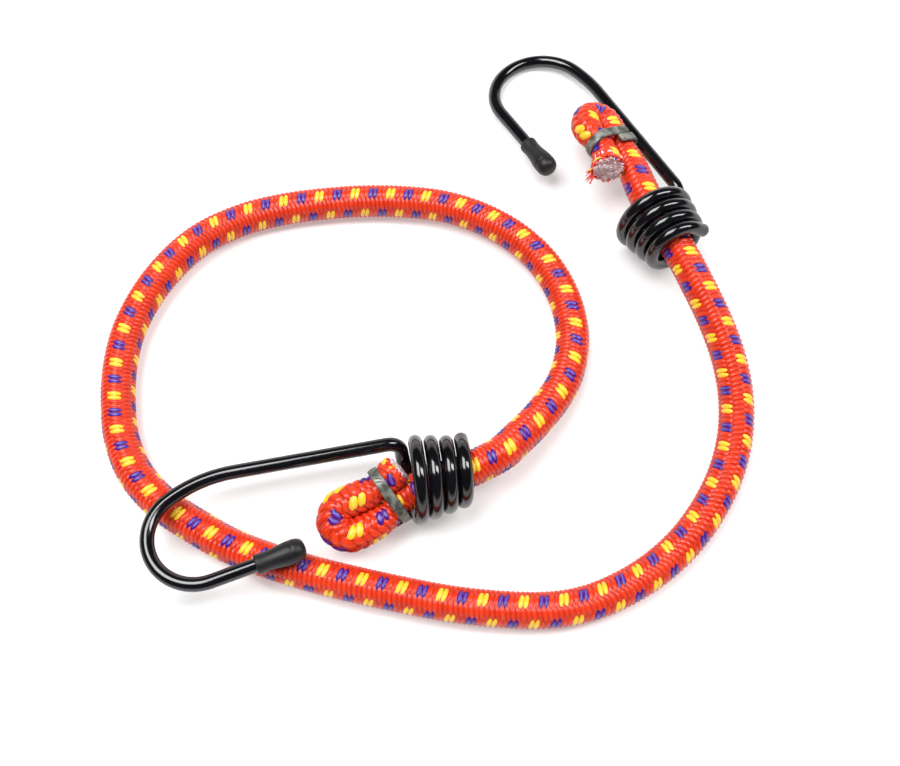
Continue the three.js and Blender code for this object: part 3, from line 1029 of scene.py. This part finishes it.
@dataclass
class BraidedCord:
    """The elastic cord, from the cut in its left end to the cut in its right end.

    The whole cord is one line. It is divided where the bodies that it follows meet.
    """

    finishes: Finishes
    step: float = 0.15
    sides: int = 56
    curve_steps: int = 24
    relief: float = 0.42
    table_gap: float = 0.02
    bake_side_margin: float = 0.04
    bake_end_margin: float = 0.01
    path_stride: int = 8
    line: CordLine = field(init=False)
    left_neck: float = field(init=False)
    right_neck: float = field(init=False)

    def __post_init__(self) -> None:
        """Lay the line."""
        left = self.fold_points(Side.LEFT)[::-1]
        right = self.fold_points(Side.RIGHT)
        middle = (self.lay(LEFT_ROUTE, left[-1]), self.lay(RIGHT_ROUTE, right[0]))
        corners = np.vstack([left, *middle, right])
        fine = smooth_line(corners, self.curve_steps)
        reached = distance_along(fine)
        self.left_neck = reached[(len(left) - 1) * self.curve_steps]
        self.right_neck = reached[(len(corners) - len(right)) * self.curve_steps]
        even = evenly_spaced(fine, self.step)
        tangents = tangents_of(even)
        middle_station = len(even) // 2
        ahead = carry_axis(tangents[middle_station:], UP)
        behind = carry_axis(tangents[middle_station::-1], UP)[::-1]
        axes = np.vstack([behind[:-1], ahead])
        self.line = CordLine(even[:, :3], distance_along(even), axes, tangents, even[:, 3] * CORD_RADIUS)

    @staticmethod
    def fold_points(side: Side) -> np.ndarray:
        """Return a folded end's points and shares, in the table's frame."""
        rows = np.array(FOLDS[side].points)
        return np.hstack([as_world(HOOKS[side].level_matrix(), rows[:, :3]), rows[:, 3:]])

    @staticmethod
    def lay(route: Sequence[Triple], neck: np.ndarray) -> np.ndarray:
        """Lay a route on the table.

        Args:
            route: its points, each with its share of the neck's height.
            neck: the neck.

        Returns:
            The points at their heights, with a full radius.
        """
        rows = np.array(route)
        heights = LYING_HEIGHT + rows[:, 2] * (neck[2] - LYING_HEIGHT)
        return np.column_stack([rows[:, :2], heights, np.ones(len(rows))])

    def tube(self, name: str, line: CordLine) -> bpy.types.Object:
        """Make one stretch of braid, its floats standing out of it.

        Args:
            name: the piece's name.
            line: the stretch.

        Returns:
            The piece.
        """
        rings, sides = len(line.points), self.sides
        around = np.arange(sides) / sides
        floats = BraidPattern.floats_at(line.along - self.left_neck)
        turns = BraidPattern.turns_at(line.along - self.left_neck)
        height = BraidPattern.height(floats[:, None], around[None, :] - turns[:, None])
        radius = line.radii[:, None] - self.relief * (1 - height)
        rights = np.cross(line.tangents, line.axes)
        angle = 2 * math.pi * around
        spread = np.cos(angle)[None, :, None] * line.axes[:, None, :]
        spread = spread + np.sin(angle)[None, :, None] * rights[:, None, :]
        vertices = (line.points[:, None, :] + spread * radius[:, :, None]).reshape(-1, 3)
        vertices[:, 2] = np.maximum(vertices[:, 2], self.table_gap)
        piece = make_piece(name, vertices, ring_faces(rings, sides))
        self.map_braid(piece, floats, turns)
        piece.data.materials.append(self.finishes.braid)
        return piece

    def map_braid(self, piece: bpy.types.Object, floats: np.ndarray, turns: np.ndarray) -> None:
        """Give a stretch its two maps: the braid's own, and one that fills a square for baking.

        Args:
            piece: the stretch.
            floats: each ring's place along the cord, in floats.
            turns: how far the braid has turned at each ring, in turns.
        """
        sides, rings = self.sides, len(floats)
        ring = np.arange(rings - 1)[:, None, None] + np.array([0, 1, 1, 0])
        place = np.arange(sides)[None, :, None] + np.array([0, 0, 1, 1])
        ring, place = np.broadcast_arrays(ring, place)
        braid = np.stack([floats[ring], place / sides - turns[ring]], axis=-1)
        piece.data.uv_layers.new(name="braid").uv.foreach_set("vector", braid.astype(np.float32).ravel())
        rows = max(1, round(math.sqrt(rings * self.step / (2 * math.pi * CORD_RADIUS))))
        per_row = math.ceil((rings - 1) / rows)
        row = np.broadcast_to(np.arange(rings - 1)[:, None, None] // per_row, ring.shape)
        across = self.bake_side_margin / 2 + (1 - self.bake_side_margin) * place / sides
        reach = self.bake_end_margin + (1 - 2 * self.bake_end_margin) * (ring - row * per_row) / per_row
        bake = np.stack([reach, (row + across) / rows], axis=-1)
        piece.data.uv_layers.new(name="OFBake").uv.foreach_set("vector", bake.astype(np.float32).ravel())

    def build(self) -> dict[str, bpy.types.Object]:
        """Returns:
            The stretches by name.
        """
        line = self.line
        lead_end = self.left_neck + LEFT_LEAD_LENGTH
        lead_start = self.right_neck - RIGHT_LEAD_LENGTH
        stretch_start = lead_start - STRETCH_RUN_LENGTH
        spans = {
            "left_end": (0.0, self.left_neck),
            "left_lead": (self.left_neck, lead_end),
            "loop_run": (lead_end, stretch_start),
            "stretch_run": (stretch_start, lead_start),
            "right_lead": (lead_start, self.right_neck),
            "right_end": (self.right_neck, line.along[-1]),
        }
        parts = {name: line.part(*span) for name, span in spans.items()}
        pieces = {name: self.tube(f"{name}_braid", part) for name, part in parts.items()}
        for name, piece in pieces.items():
            threads = [f"{name}_thread_{k + 1}" for k in range(THREADS_PER_STRETCH)]
            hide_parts(f"{name}_sheath", *threads)
        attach(pieces["left_end"], "left_end")
        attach(pieces["right_end"], "right_end")
        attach(pieces["loop_run"], "cord")
        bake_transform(pieces["left_lead"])
        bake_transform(pieces["stretch_run"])
        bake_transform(pieces["right_lead"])
        for name in ("left_lead", "loop_run", "stretch_run", "right_lead"):
            part = parts[name]
            part.metres()[:: self.path_stride] + [part.metres()[-1]]
            LOG.info("%s: %.1f mm of cord", name, part.along[-1] - part.along[0])
        return pieces


@dataclass(frozen=True)
class FrayShape:
    """How the sheath's yarns stand round one cut: short stubs, and a tuft of longer ends on one side."""

    stubs: int
    stub_length: Pair
    tuft: int
    tuft_length: Pair
    tuft_toward: Triple
    colour_weights: Triple


FRAYS = {
    Side.LEFT: FrayShape(
        stubs=46,
        stub_length=(0.5, 0.9),
        tuft=0,
        tuft_length=(0.0, 0.0),
        tuft_toward=(0.0, 1.0, 0.0),
        colour_weights=(0.66, 0.08, 0.26),
    ),
    Side.RIGHT: FrayShape(
        stubs=46,
        stub_length=(0.6, 1.1),
        tuft=9,
        tuft_length=(1.6, 2.8),
        tuft_toward=(-0.9, -0.5, -0.2),
        colour_weights=(0.92, 0.04, 0.04),
    ),
}


@dataclass
class CutEnd:
    """The cut across one end of the cord: the rubber threads in it and the frayed yarns round it."""

    side: Side
    line: CordLine
    finishes: Finishes
    sheath_wall: float = 0.75
    thread_width: float = 0.9
    thread_pitch: float = 0.92
    row_share: float = 0.87
    width_spread: Pair = (0.92, 1.06)
    thread_depth: float = 2.5
    least_top: float = 0.35
    top_spread: float = 0.3
    top_crown: float = 0.25
    top_bevel: float = 0.12
    bevel_share: float = 0.72
    top_hollow: float = 0.05
    hollow_share: float = 0.05
    top_unevenness: float = 0.12
    yarn_sides: int = 6
    yarn_rings: int = 6
    stub_jitter: float = 0.4
    tuft_jitter: float = 0.35
    stub_splay: Pair = (-0.75, 0.3)
    tuft_splay: Pair = (0.5, 1.1)
    stub_thickness: Pair = (0.28, 0.42)
    tuft_thickness: Pair = (0.2, 0.3)
    yarn_lean: float = 0.5
    yarn_lean_power: float = 0.6
    yarn_inset: Pair = (0.3, 0.7)
    yarn_depth: float = 0.8
    yarn_rise: float = 0.4
    yarn_taper: float = 0.6

    def frame(self) -> tuple[np.ndarray, np.ndarray, np.ndarray, np.ndarray, float]:
        """Find the cut.

        Returns:
            Its middle, its outward direction, two axes across it, and its radius.
        """
        line = self.line
        station = 0 if self.side is Side.LEFT else -1
        outward = line.tangents[station] * (-1 if self.side is Side.LEFT else 1)
        axis = line.axes[station]
        return line.points[station], outward, axis, np.cross(outward, axis), line.radii[station]

    def thread_middles(self, inner: float) -> list[Pair]:
        """Return the threads' middles across the cut, in staggered rows.

        Args:
            inner: how far from the cut's middle the threads reach.

        Returns:
            The two coordinates of each middle.
        """
        reach = int(inner / self.thread_pitch) + 2
        numbers = range(-reach, reach + 1)
        middles = [
            ((column + 0.5 * (row % 2)) * self.thread_pitch, row * self.thread_pitch * self.row_share)
            for row in numbers
            for column in numbers
        ]
        return [middle for middle in middles if math.hypot(*middle) <= inner]

    def threads(self) -> bpy.types.Object:
        """Make the square-cut rubber threads, each cut off at its own height.

        Returns:
            The piece.
        """
        middle, outward, axis, across, radius = self.frame()
        chance = random.Random(THREAD_SEEDS[self.side])
        inner = radius - self.sheath_wall
        vertices, faces = [], []
        for x, y in self.thread_middles(inner):
            turn = chance.uniform(0, math.pi / 2)
            top = self.least_top + self.top_spread * chance.random()
            top += self.top_crown * (1 - math.hypot(x, y) / inner)
            half = self.thread_width / 2 * chance.uniform(*self.width_spread)
            first = len(vertices)
            levels = (
                (half, -self.thread_depth),
                (half, top - self.top_bevel),
                (half * self.bevel_share, top),
                (half * self.hollow_share, top - self.top_hollow),
            )
            for size, level in levels:
                for corner in range(4):
                    angle = turn + math.pi / 4 + corner * math.pi / 2
                    offset_x = x + size * math.sqrt(2) * math.cos(angle)
                    offset_y = y + size * math.sqrt(2) * math.sin(angle)
                    rise = level + self.top_unevenness * (chance.random() - 0.5) * (level > 0)
                    vertices.append(middle + axis * offset_x + across * offset_y + outward * rise)
            for base in range(first, first + 12, 4):
                for corner in range(4):
                    after = (corner + 1) % 4
                    faces.append((base + corner, base + after, base + 4 + after, base + 4 + corner))
            faces.append((first + 12, first + 13, first + 14, first + 15))
            faces.append((first + 3, first + 2, first + 1, first))
        piece = make_piece(f"{self.side.value}_cut_threads", np.array(vertices), faces)
        piece.data.polygons.foreach_set("use_smooth", [False] * len(piece.data.polygons))
        piece.data.materials.append(self.finishes.cut_rubber)
        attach(piece, f"{self.side.value}_end")
        return piece

    def fray(self) -> bpy.types.Object:
        """Make the loose ends of yarn that stand out round the cut.

        Returns:
            The piece.
        """
        middle, outward, axis, across, radius = self.frame()
        shape = FRAYS[self.side]
        chance = random.Random(FRAY_SEEDS[self.side])
        order = list(Yarn)
        vertices, faces, slots = [], [], []
        sides, rings = self.yarn_sides, self.yarn_rings
        toward = np.array(shape.tuft_toward)
        tuft_angle = math.atan2(toward @ across, toward @ axis)
        for k in range(shape.stubs + shape.tuft):
            in_tuft = k >= shape.stubs
            angle = 2 * math.pi * (k + chance.uniform(-self.stub_jitter, self.stub_jitter)) / shape.stubs
            if in_tuft:
                angle = tuft_angle + chance.uniform(-self.tuft_jitter, self.tuft_jitter)
            radial = axis * math.cos(angle) + across * math.sin(angle)
            around = -axis * math.sin(angle) + across * math.cos(angle)
            length = chance.uniform(*(shape.tuft_length if in_tuft else shape.stub_length))
            splay = chance.uniform(*(self.tuft_splay if in_tuft else self.stub_splay))
            lean = chance.uniform(-self.yarn_lean, self.yarn_lean)
            thick = chance.uniform(*(self.tuft_thickness if in_tuft else self.stub_thickness))
            yarn = chance.choices(order, weights=shape.colour_weights)[0]
            first = len(vertices)
            inset = chance.uniform(*self.yarn_inset)
            start = middle + radial * (radius - inset) - outward * self.yarn_depth
            for ring in range(rings):
                share = ring / (rings - 1)
                way = outward + radial * splay * share + around * lean * share**self.yarn_lean_power
                centre = start + way * length * share + outward * self.yarn_rise * share
                size = thick * (1 - self.yarn_taper * share**3)
                for corner in range(sides):
                    turn = 2 * math.pi * corner / sides
                    vertices.append(centre + size * (radial * math.cos(turn) + around * math.sin(turn)))
            new_faces = ring_faces(rings, sides, first)
            new_faces.append(tuple(first + (rings - 1) * sides + corner for corner in range(sides)))
            new_faces.append(tuple(first + corner for corner in reversed(range(sides))))
            faces += new_faces
            slots += [order.index(yarn)] * len(new_faces)
        piece = make_piece(f"{self.side.value}_frayed_yarn", np.array(vertices), faces)
        for yarn in order:
            piece.data.materials.append(self.finishes.yarns[yarn])
        piece.data.polygons.foreach_set("material_index", slots)
        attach(piece, f"{self.side.value}_end")
        return piece


@dataclass
class WireHook:
    """One hook: the coil that grips the cord, the shank, the bend, the tip and the cap on it."""

    side: Side
    finishes: Finishes
    sides: int = 20
    coil_pitch: float = 3.32
    coil_turns: int = 4
    coil_start_angle: float = 45.0
    coil_stub: float = 2.6
    coil_steps: int = 150
    lead_steps: int = 10
    ease_steps: int = 16
    bend_steps: int = 60
    point_step: float = 0.55
    dome_share: float = 0.5
    dome_angles: Triple = (30.0, 60.0, 80.0)
    cap_length: float = 11.0
    cap_end_wall: float = 2.3
    cap_gap: float = 0.3
    cap_sides: int = 40

    @property
    def shape(self) -> HookShape:
        """Return the hook's sizes."""
        return HOOKS[self.side]

    def coil_points(self) -> np.ndarray:
        """Lay the wire through the coil.

        Returns:
            The line's points, from the wire's cut end.
        """
        lead = math.acos(COIL_LARGE_RADIUS / self.shape.shank_offset)
        start = math.radians(self.coil_start_angle)
        end = 2 * math.pi * self.coil_turns - lead
        angles = np.linspace(start, end, self.coil_steps)
        share = (angles - start) / (end - start)
        radius = COIL_SMALL_RADIUS + (COIL_LARGE_RADIUS - COIL_SMALL_RADIUS) * share
        advance = self.coil_pitch * (angles / (2 * math.pi) - (self.coil_turns - 0.5))
        winding = np.stack([advance, -radius * np.cos(angles), radius * np.sin(angles)], axis=1)
        back = unit(winding[0] - winding[1])
        stub = winding[0] + back * self.coil_stub * np.linspace(1, 0.25, 4)[:, None]
        return np.vstack([stub, winding])

    def lead_points(self, coil_end: np.ndarray) -> np.ndarray:
        """Lay the bend by which the wire leaves the coil.

        Args:
            coil_end: the coil's last point.

        Returns:
            The bend's points, without that one.
        """
        lead = math.acos(COIL_LARGE_RADIUS / self.shape.shank_offset)
        radius = COIL_LARGE_RADIUS * math.tan(lead)
        rise = np.array([0.0, -math.sin(lead), math.cos(lead)])
        out = np.array([1.0, 0.0, 0.0])
        angles = np.linspace(0, math.pi / 2, self.lead_steps + 1)[1:, None]
        return coil_end + rise * radius * np.sin(angles) + out * radius * (1 - np.cos(angles))

    @staticmethod
    def arc_points(start: np.ndarray, headings: Pair, radius: float, steps: int) -> np.ndarray:
        """Return points on an arc that turns towards +Y.

        Args:
            start: where it starts.
            headings: its first and its last direction, in degrees.
            radius: its radius.
            steps: how many points to return.

        Returns:
            The points, without the start.
        """
        angles = np.radians(np.linspace(*headings, steps + 1))
        left = np.stack([-np.sin(angles), np.cos(angles), np.zeros(steps + 1)], axis=1)
        return (start + left[0] * radius - left * radius)[1:]

    def tip_direction(self) -> np.ndarray:
        """Return the direction of the straight tip."""
        angle = math.radians(self.shape.bend_end_angle)
        return np.array([math.cos(angle), math.sin(angle), 0.0])

    def hook_parts(self) -> tuple[np.ndarray, np.ndarray, np.ndarray]:
        """Lay the hook beyond its shank.

        Returns:
            The shank's end, the easy bend and the hook's own bend, each as rows of points.
        """
        shape = self.shape
        shank_end = np.array([[shape.shank_end, -shape.shank_offset, 0.0]])
        ease_headings = (0, shape.ease_angle)
        ease = self.arc_points(shank_end[0], ease_headings, shape.ease_radius, self.ease_steps)
        bend_headings = (shape.ease_angle, shape.bend_end_angle)
        bend = self.arc_points(ease[-1], bend_headings, shape.bend_radius, self.bend_steps)
        return shank_end, ease, bend

    def wire_points(self) -> np.ndarray:
        """Lay the whole wire.

        Returns:
            The line's points, closely and evenly spaced.
        """
        coil = self.coil_points()
        lead = self.lead_points(coil[-1])
        shank_end, ease, bend = self.hook_parts()
        tip_length = self.shape.tip_length - self.cap_end_wall - self.cap_gap
        tip = bend[-1:] + self.tip_direction() * tip_length
        return evenly_spaced(np.vstack([coil, lead, shank_end, ease, bend, tip]), self.point_step)

    def wire(self) -> bpy.types.Object:
        """Make the coated wire, rounded off at its ends.

        Returns:
            The piece.
        """
        points = self.wire_points()
        tangents = tangents_of(points)
        axes = carry_axis(tangents, np.array([1.0, 0.0, 0.0]))
        section = round_section(WIRE_RADIUS, self.sides)
        vertices = sweep_rings(points, axes, tangents, section, np.ones(len(points)))
        domes = np.radians(self.dome_angles)
        ends = []
        for station, sign, angles in ((0, -1, domes[::-1]), (-1, 1, domes)):
            reaches = sign * WIRE_RADIUS * self.dome_share * np.sin(angles)
            places = points[station] + tangents[station] * reaches[:, None]
            end_axes = np.repeat(axes[station][None], len(angles), 0)
            end_tangents = np.repeat(tangents[station][None], len(angles), 0)
            ends.append(sweep_rings(places, end_axes, end_tangents, section, np.cos(angles)))
        everything = as_world(self.shape.wire_matrix(), np.vstack([ends[0], vertices, ends[1]]))
        faces = closed_faces(len(everything) // self.sides, self.sides)
        piece = make_piece(f"{self.side.value}_hook", everything, faces)
        piece.data.materials.append(self.finishes.coating)
        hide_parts(f"{self.side.value}_hook_wire")
        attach(piece, f"{self.side.value}_hook")
        return piece

    def cap_profile(self) -> np.ndarray:
        """Draw the cap's outline.

        Returns:
            Each point's radius, and how far along the cap it is.
        """
        outline = [
            (WIRE_RADIUS + 0.02, 1.0),
            (WIRE_RADIUS + 0.02, 0.2),
            (WIRE_RADIUS + 0.12, 0.04),
            (1.95, 0.0),
            (2.1, 0.12),
            (2.18, 0.4),
            (2.17, 0.9),
            (2.1, 1.6),
            (2.07, 2.4),
            (2.1, 3.2),
            (2.19, 4.1),
            (2.32, 5.0),
            (2.46, 5.9),
            (2.56, 6.7),
            (2.61, 7.4),
            (2.62, 7.9),
            (2.58, 8.0),
            (2.58, 8.12),
            (2.62, 8.22),
            (2.6, 8.8),
            (2.49, 9.5),
            (2.25, 10.1),
            (1.85, 10.55),
            (1.3, 10.83),
            (0.65, self.cap_length - 0.03),
            (0.2, self.cap_length),
        ]
        return np.array(outline)

    def cap(self) -> bpy.types.Object:
        """Make the rubber cap on the tip.

        Returns:
            The piece.
        """
        profile = self.cap_profile()
        direction = self.tip_direction()
        bend_end = self.hook_parts()[2][-1]
        start = bend_end + direction * (self.shape.tip_length - self.cap_length)
        points = start + direction * profile[:, 1:]
        tangents = np.repeat(direction[None], len(points), 0)
        axes = np.repeat(UP[None], len(points), 0)
        sides = self.cap_sides
        vertices = sweep_rings(points, axes, tangents, round_section(1.0, sides), profile[:, 0])
        rings = len(points)
        faces: list[tuple[int, ...]] = list(ring_faces(rings, sides))
        faces.append(tuple(reversed(range((rings - 1) * sides, rings * sides))))
        piece = make_piece(f"{self.side.value}_cap", as_world(self.shape.wire_matrix(), vertices), faces)
        piece.data.materials.append(self.finishes.cap)
        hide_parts(f"{self.side.value}_tip_cap")
        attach(piece, f"{self.side.value}_hook")
        return piece


@dataclass
class EndClip:
    """The flat metal clip bent round both strands of a folded end."""

    side: Side
    finishes: Finishes
    width: float = 2.3
    thickness: float = 1.0
    clearance: float = 0.05
    lap: float = 0.12
    lap_gap: float = 0.25
    steps: int = 120
    section_sides: int = 20
    corner_power: float = 0.5
    end_scale: float = 0.82
    waves: int = 3
    wave_height: float = 0.12
    wave_speed: float = 9
    wave_spread: Pair = (0.6, 1.4)
    wave_phases: Pair = (0, 6.28)

    @staticmethod
    def oval_point(share: float, half_span: float, radius: float) -> Pair:
        """Return a point on an oval of two half circles and two straight sides.

        Args:
            share: the share of the way round.
            half_span: half the distance between the circles' middles.
            radius: the circles' radius.

        Returns:
            The point.
        """
        arc, side = math.pi * radius, 2 * half_span
        way = (share % 1.0) * 2 * (arc + side)
        sign = 1.0 if way < arc + side else -1.0
        way -= 0.0 if sign > 0 else arc + side
        angle = min(way / radius, math.pi) - math.pi / 2
        x = half_span - max(way - arc, 0.0) + radius * math.cos(angle)
        return sign * x, sign * radius * math.sin(angle)

    def build(self) -> bpy.types.Object:
        """Make the clip.

        Returns:
            The piece.
        """
        fold = FOLDS[self.side]
        rows = np.array(fold.points)
        places = as_world(HOOKS[self.side].level_matrix(), rows[:, :3])
        main, tail = fold.clip_main, fold.clip_tail
        middle = (places[main] + places[tail]) / 2
        half_span = np.linalg.norm(places[tail] - places[main]) / 2
        across = unit(places[tail] - places[main])
        along = unit(places[main + 1] - places[main - 1]) + unit(places[tail - 1] - places[tail + 1])
        along = unit(along - across * (along @ across))
        beside = np.cross(along, across)
        strand = CORD_RADIUS * max(rows[main, 3], rows[tail, 3])
        radius = strand + self.clearance + self.thickness / 2
        chance = random.Random(CLIP_SEEDS[self.side])
        waves = [
            (self.wave_speed * chance.uniform(*self.wave_spread), chance.uniform(*self.wave_phases))
            for _ in range(self.waves)
        ]
        shares = np.linspace(0, 1, self.steps + 1)
        points = []
        for share in shares:
            x, y = self.oval_point(fold.lap_start + share * (1 + self.lap), half_span, radius)
            drift = (share - 0.5) * (self.width + self.lap_gap)
            drift += self.wave_height * sum(math.sin(speed * share + phase) for speed, phase in waves)
            points.append(middle + across * x + beside * y + along * drift)
        points = np.array(points)
        tangents = tangents_of(points)
        axes = unit(np.cross(tangents, along))
        circle = round_section(1.0, self.section_sides)
        section = np.sign(circle) * np.abs(circle) ** self.corner_power
        section = section * np.array([self.thickness, self.width]) / 2
        scale = np.ones(len(points))
        scale[[0, -1]] = self.end_scale
        vertices = sweep_rings(points, axes, tangents, section, scale)
        faces = closed_faces(len(points), self.section_sides)
        piece = make_piece(f"{self.side.value}_cord_clip", vertices, faces)
        piece.data.materials.append(self.finishes.zinc)
        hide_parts(f"{self.side.value}_clip")
        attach(piece, f"{self.side.value}_end")
        return piece


@dataclass(frozen=True)
class Panel:
    """One soft light: its place and what it points at, its two sides, and its power in watts."""

    place: Triple
    target: Triple
    size: Pair
    power: float

    def build(self, name: str) -> None:
        """Add the light, out of the camera's sight.

        Args:
            name: the light's name.
        """
        lamp = bpy.data.lights.new(name, "AREA")
        lamp.shape = "RECTANGLE"
        lamp.size = self.size[0] * MM
        lamp.size_y = self.size[1] * MM
        lamp.energy = self.power
        light = place_and_aim(name, lamp, self.place, self.target)
        light.visible_camera = False


PANELS = {
    "left_panel": Panel(place=(-480, 60, 1410), target=(0, 0, 0), size=(900, 900), power=27.0),
    "right_panel": Panel(place=(880, 100, 1210), target=(0, 0, 0), size=(380, 1000), power=15.0),
    "back_panel": Panel(place=(0, 2300, 520), target=(0, 0, 300), size=(4200, 900), power=11.0),
}


@dataclass(frozen=True)
class Studio:
    """The white table, the soft lights and the camera."""

    camera_place: Triple = (2.0, -140.68, 255.58)
    camera_target: Triple = (2.0, -21.5, 0.0)
    lens: float = 48.0
    sensor_width: float = 36.0
    clip_range: Pair = (0.005, 20.0)
    table_size: float = 1400.0
    table_shades: tuple[Colour, Colour] = ((0.62, 0.62, 0.62, 1), (0.64, 0.64, 0.64, 1))
    table_glow: Colour = (0.36, 0.36, 0.36, 1)
    # Where the table starts to go over into the white behind it, and where it has, in metres.
    table_fade: Pair = (0.25, 0.50)
    shade_scale: float = 6.0
    shade_detail: float = 2.0
    # How high the pale surroundings start to end and have ended, and how bright it is below and above.
    horizon: Pair = (0.03, 0.14)
    surroundings: Pair = (0.95, 0.05)

    def build(self) -> None:
        """Build the table, the lights and the camera."""
        self.build_table()
        for name, panel in PANELS.items():
            panel.build(name)
        self.build_surroundings()
        self.build_camera()

    def build_table(self) -> None:
        """Make the white table top."""
        half = self.table_size / 2
        corners = np.array([(-half, -half, 0), (half, -half, 0), (half, half, 0), (-half, half, 0)])
        table = make_piece("table", corners, [(0, 1, 2, 3)])
        material, graph, shader = start_material("white_table")
        place = graph.add("ShaderNodeTexCoord").outputs["Object"]
        soft = graph.noise(place, self.shade_scale, self.shade_detail)
        graph.feed(shader.inputs["Base Color"], graph.mix(soft, *self.table_shades))
        distance = graph.add("ShaderNodeVectorMath", operation="LENGTH")
        graph.feed(distance.inputs[0], place)
        far = graph.ramp(distance.outputs["Value"], *self.table_fade, 0.0, 1.0)
        graph.feed(shader.inputs["Emission Color"], graph.mix(far, self.table_glow, WHITE))
        shader.inputs["Emission Strength"].default_value = 1.0
        shader.inputs["Roughness"].default_value = 0.8
        shader.inputs["Specular IOR Level"].default_value = 0.1
        table.data.materials.append(material)

    def build_surroundings(self) -> None:
        """Set the pale line of the surroundings, and white behind the table."""
        world = bpy.data.worlds.new("white_room")
        world.use_nodes = True
        graph = NodeGraph(world.node_tree)
        parts = graph.add("ShaderNodeSeparateXYZ")
        graph.feed(parts.inputs[0], graph.add("ShaderNodeTexCoord").outputs["Generated"])
        background = world.node_tree.nodes["Background"]
        background.inputs["Color"].default_value = WHITE
        low_light = graph.ramp(parts.outputs[2], *self.horizon, *self.surroundings)
        seen = graph.add("ShaderNodeLightPath").outputs["Is Camera Ray"]
        graph.feed(background.inputs["Strength"], graph.math("MAXIMUM", low_light, seen))
        bpy.context.scene.world = world
        bpy.context.scene.view_settings.view_transform = "Standard"

    def build_camera(self) -> None:
        """Set up the camera at the photograph's viewing angle."""
        camera = bpy.data.cameras.new("camera")
        camera.lens = self.lens
        camera.sensor_width = self.sensor_width
        camera.sensor_fit = "HORIZONTAL"
        camera.clip_start, camera.clip_end = self.clip_range
        holder = place_and_aim("camera", camera, self.camera_place, self.camera_target)
        bpy.context.scene.camera = holder


def write_sizes() -> None:
    """Update the view layer.
    """
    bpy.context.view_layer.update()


def main() -> None:
    """Build the bungee cord in order: the studio, the cord, its cut ends, the clips and the hooks."""
    logging.basicConfig(level=logging.INFO, format="%(message)s")
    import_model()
    finishes = Finishes()
    Studio().build()
    cord = BraidedCord(finishes)
    pieces = list(cord.build().values())
    for side in Side:
        cut = CutEnd(side, cord.line, finishes)
        hook = WireHook(side, finishes)
        pieces += [cut.threads(), cut.fray(), EndClip(side, finishes).build(), hook.wire(), hook.cap()]
    for piece in pieces:
        LOG.info("%s: %d faces", piece.name, len(piece.data.polygons))
    write_sizes()


if __name__ == "__main__":
    main()
